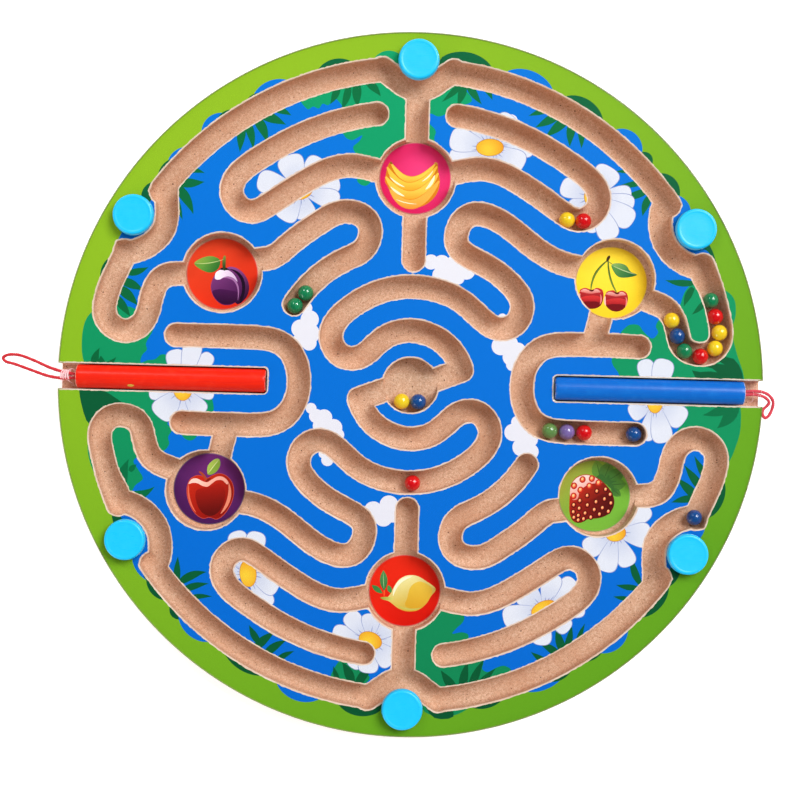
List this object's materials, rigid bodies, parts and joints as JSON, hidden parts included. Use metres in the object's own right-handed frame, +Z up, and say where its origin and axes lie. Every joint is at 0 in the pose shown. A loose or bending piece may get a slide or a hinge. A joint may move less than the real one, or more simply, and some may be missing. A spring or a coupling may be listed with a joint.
{
  "type": "magnetic ball maze",
  "caption": "Round grooved maze board with a clear cover, painted steel balls in the grooves, picture pockets and two magnet pens on cords in rim slots.",
  "frame": {"origin": "centre of the board's underside", "axes": "+Z up out of the play face, +X along the blue pen's slot, +Y towards the banana pocket"},
  "size_m": [0.3304, 0.3, 0.0173],
  "materials": {
    "fibreboard": "routed medium-density fibreboard, matt, fine flecks",
    "printed_paper": "printed picture sheet, satin",
    "clear_acrylic": "clear polished acrylic sheet",
    "cap_plastic": "light blue moulded snap cap",
    "washer_plastic": "white moulded cap base",
    "screw_steel": "zinc plated steel",
    "magnet": "nickel plated magnet",
    "cord": "thin braided cord",
    "pen_red_paint": "glossy red lacquer",
    "pen_blue_paint": "glossy blue lacquer",
    "ball_yellow": "glossy painted steel ball",
    "ball_red": "glossy painted steel ball",
    "ball_green": "glossy painted steel ball",
    "ball_blue": "glossy painted steel ball",
    "ball_violet": "glossy painted steel ball",
    "disc_banana": "printed picture disc, satin",
    "disc_lemon": "printed picture disc, satin",
    "disc_plum": "printed picture disc, satin",
    "disc_apple": "printed picture disc, satin",
    "disc_cherry": "printed picture disc, satin",
    "disc_strawberry": "printed picture disc, satin"
  },
  "bodies": {
    "board": {"maze_board": "fibreboard", "printed_face_sheet": "printed_paper", "clear_cover": "clear_acrylic", "disc_banana": "disc_banana", "disc_lemon": "disc_lemon", "disc_plum": "disc_plum", "disc_apple": "disc_apple", "disc_cherry": "disc_cherry", "disc_strawberry": "disc_strawberry", "cap_screw_1": "screw_steel", "cap_washer_1": "washer_plastic", "snap_cap_1": "cap_plastic", "cap_screw_2": "screw_steel", "cap_washer_2": "washer_plastic", "snap_cap_2": "cap_plastic", "cap_screw_3": "screw_steel", "cap_washer_3": "washer_plastic", "snap_cap_3": "cap_plastic", "cap_screw_4": "screw_steel", "cap_washer_4": "washer_plastic", "snap_cap_4": "cap_plastic", "cap_screw_5": "screw_steel", "cap_washer_5": "washer_plastic", "snap_cap_5": "cap_plastic", "cap_screw_6": "screw_steel", "cap_washer_6": "washer_plastic", "snap_cap_6": "cap_plastic"},
    "pen_red": {"pen_red_barrel": "pen_red_paint", "pen_red_magnet": "magnet"},
    "cord_red": {"pen_red_cord": "cord"},
    "pen_blue": {"pen_blue_barrel": "pen_blue_paint", "pen_blue_magnet": "magnet"},
    "cord_blue": {"pen_blue_cord": "cord"},
    "ball_01_yellow": {"ball_01_yellow": "ball_yellow"},
    "ball_02_red": {"ball_02_red": "ball_red"},
    "ball_03_green": {"ball_03_green": "ball_green"},
    "ball_04_green": {"ball_04_green": "ball_green"},
    "ball_05_green": {"ball_05_green": "ball_green"},
    "ball_06_red": {"ball_06_red": "ball_red"},
    "ball_07_yellow": {"ball_07_yellow": "ball_yellow"},
    "ball_08_yellow": {"ball_08_yellow": "ball_yellow"},
    "ball_12_yellow": {"ball_12_yellow": "ball_yellow"},
    "ball_11_blue": {"ball_11_blue": "ball_blue"},
    "ball_10_green": {"ball_10_green": "ball_green"},
    "ball_09_red": {"ball_09_red": "ball_red"},
    "ball_13_yellow": {"ball_13_yellow": "ball_yellow"},
    "ball_14_blue": {"ball_14_blue": "ball_blue"},
    "ball_15_green": {"ball_15_green": "ball_green"},
    "ball_17_red": {"ball_17_red": "ball_red"},
    "ball_16_violet": {"ball_16_violet": "ball_violet"},
    "ball_18_blue": {"ball_18_blue": "ball_blue"},
    "ball_19_red": {"ball_19_red": "ball_red"},
    "ball_20_blue": {"ball_20_blue": "ball_blue"}
  },
  "joints": [
    {"name": "pen_red_lift", "type": "slide", "parent": "board", "child": "pen_red", "axis": [0, 0, 1], "range_m": [0, 0.03]},
    {"name": "cord_red_swing", "type": "hinge", "parent": "pen_red", "child": "cord_red", "pos_m": [-0.1422, 0, 0.0101], "axis": [0, 1, 0], "range_deg": [-15, 65]},
    {"name": "pen_blue_lift", "type": "slide", "parent": "board", "child": "pen_blue", "axis": [0, 0, 1], "range_m": [0, 0.03]},
    {"name": "cord_blue_swing", "type": "hinge", "parent": "pen_blue", "child": "cord_blue", "pos_m": [0.1422, 0, 0.0101], "axis": [0, -1, 0], "range_deg": [0, 65]},
    {"name": "roll_ball_01_yellow", "type": "slide", "parent": "board", "child": "ball_01_yellow", "axis": [-0.8, 0.6, 0], "range_m": [0, 0.024]},
    {"name": "roll_ball_02_red", "type": "hinge", "parent": "board", "child": "ball_02_red", "pos_m": [0.0693, 0.0813, 0.00755], "axis": [0, 0, 1], "range_deg": [0, 75]},
    {"name": "roll_ball_03_green", "type": "slide", "parent": "board", "child": "ball_03_green", "axis": [0.6392, 0.769, 0], "range_m": [0, 0.012]},
    {"name": "roll_ball_04_green", "type": "slide", "parent": "board", "child": "ball_04_green", "axis": [0.6392, 0.769, 0], "range_m": [0, 0.012]},
    {"name": "roll_ball_05_green", "type": "slide", "parent": "board", "child": "ball_05_green", "axis": [-0.4191, 0.908, 0], "range_m": [0, 0.004]},
    {"name": "roll_ball_06_red", "type": "slide", "parent": "board", "child": "ball_06_red", "axis": [-0.2997, 0.954, 0], "range_m": [0, 0.004]},
    {"name": "roll_ball_07_yellow", "type": "slide", "parent": "board", "child": "ball_07_yellow", "axis": [-0.1302, 0.9915, 0], "range_m": [0, 0.004]},
    {"name": "roll_ball_08_yellow", "type": "slide", "parent": "board", "child": "ball_08_yellow", "axis": [0.4191, 0.908, 0], "range_m": [0, 0.004]},
    {"name": "roll_ball_12_yellow", "type": "slide", "parent": "board", "child": "ball_12_yellow", "axis": [-0.4191, 0.908, 0], "range_m": [0, 0.004]},
    {"name": "roll_ball_11_blue", "type": "slide", "parent": "board", "child": "ball_11_blue", "axis": [-0.2707, 0.9626, 0], "range_m": [0, 0.004]},
    {"name": "roll_ball_10_green", "type": "slide", "parent": "board", "child": "ball_10_green", "axis": [-0.6, 0.8, 0], "range_m": [0, 0.004]},
    {"name": "roll_ball_09_red", "type": "slide", "parent": "board", "child": "ball_09_red", "axis": [-0.995, 0.0995, 0], "range_m": [0, 0.004]},
    {"name": "roll_ball_13_yellow", "type": "hinge", "parent": "board", "child": "ball_13_yellow", "pos_m": [0, -0.0003, 0.00755], "axis": [0, 0, 1], "range_deg": [-50, 0]},
    {"name": "roll_ball_14_blue", "type": "hinge", "parent": "board", "child": "ball_14_blue", "pos_m": [0, -0.0003, 0.00755], "axis": [0, 0, 1], "range_deg": [0, 60]},
    {"name": "roll_ball_15_green", "type": "hinge", "parent": "board", "child": "ball_15_green", "pos_m": [0.0661, 0.0003, 0.00755], "axis": [0, 0, 1], "range_deg": [-50, 0]},
    {"name": "roll_ball_17_red", "type": "slide", "parent": "board", "child": "ball_17_red", "axis": [1, 0, 0], "range_m": [0, 0.007]},
    {"name": "roll_ball_16_violet", "type": "slide", "parent": "board", "child": "ball_16_violet", "axis": [1, 0, 0], "range_m": [0, 0.007]},
    {"name": "roll_ball_18_blue", "type": "slide", "parent": "board", "child": "ball_18_blue", "axis": [-1, 0, 0], "range_m": [0, 0.006]},
    {"name": "roll_ball_19_red", "type": "hinge", "parent": "board", "child": "ball_19_red", "pos_m": [0, 0, 0.00755], "axis": [0, 0, 1], "range_deg": [-34, 34]},
    {"name": "roll_ball_20_blue", "type": "slide", "parent": "board", "child": "ball_20_blue", "axis": [0.3998, 0.9166, 0], "range_m": [0, 0.018]}
  ],
  "couplings": [
    {"joint": "roll_ball_04_green", "follows": "roll_ball_03_green", "ratio": 1},
    {"joint": "roll_ball_06_red", "follows": "roll_ball_05_green", "ratio": 1},
    {"joint": "roll_ball_07_yellow", "follows": "roll_ball_05_green", "ratio": 1},
    {"joint": "roll_ball_08_yellow", "follows": "roll_ball_05_green", "ratio": 0.9},
    {"joint": "roll_ball_11_blue", "follows": "roll_ball_12_yellow", "ratio": 1},
    {"joint": "roll_ball_10_green", "follows": "roll_ball_12_yellow", "ratio": 0.9},
    {"joint": "roll_ball_09_red", "follows": "roll_ball_12_yellow", "ratio": 0.75},
    {"joint": "roll_ball_16_violet", "follows": "roll_ball_17_red", "ratio": 1}
  ]
}
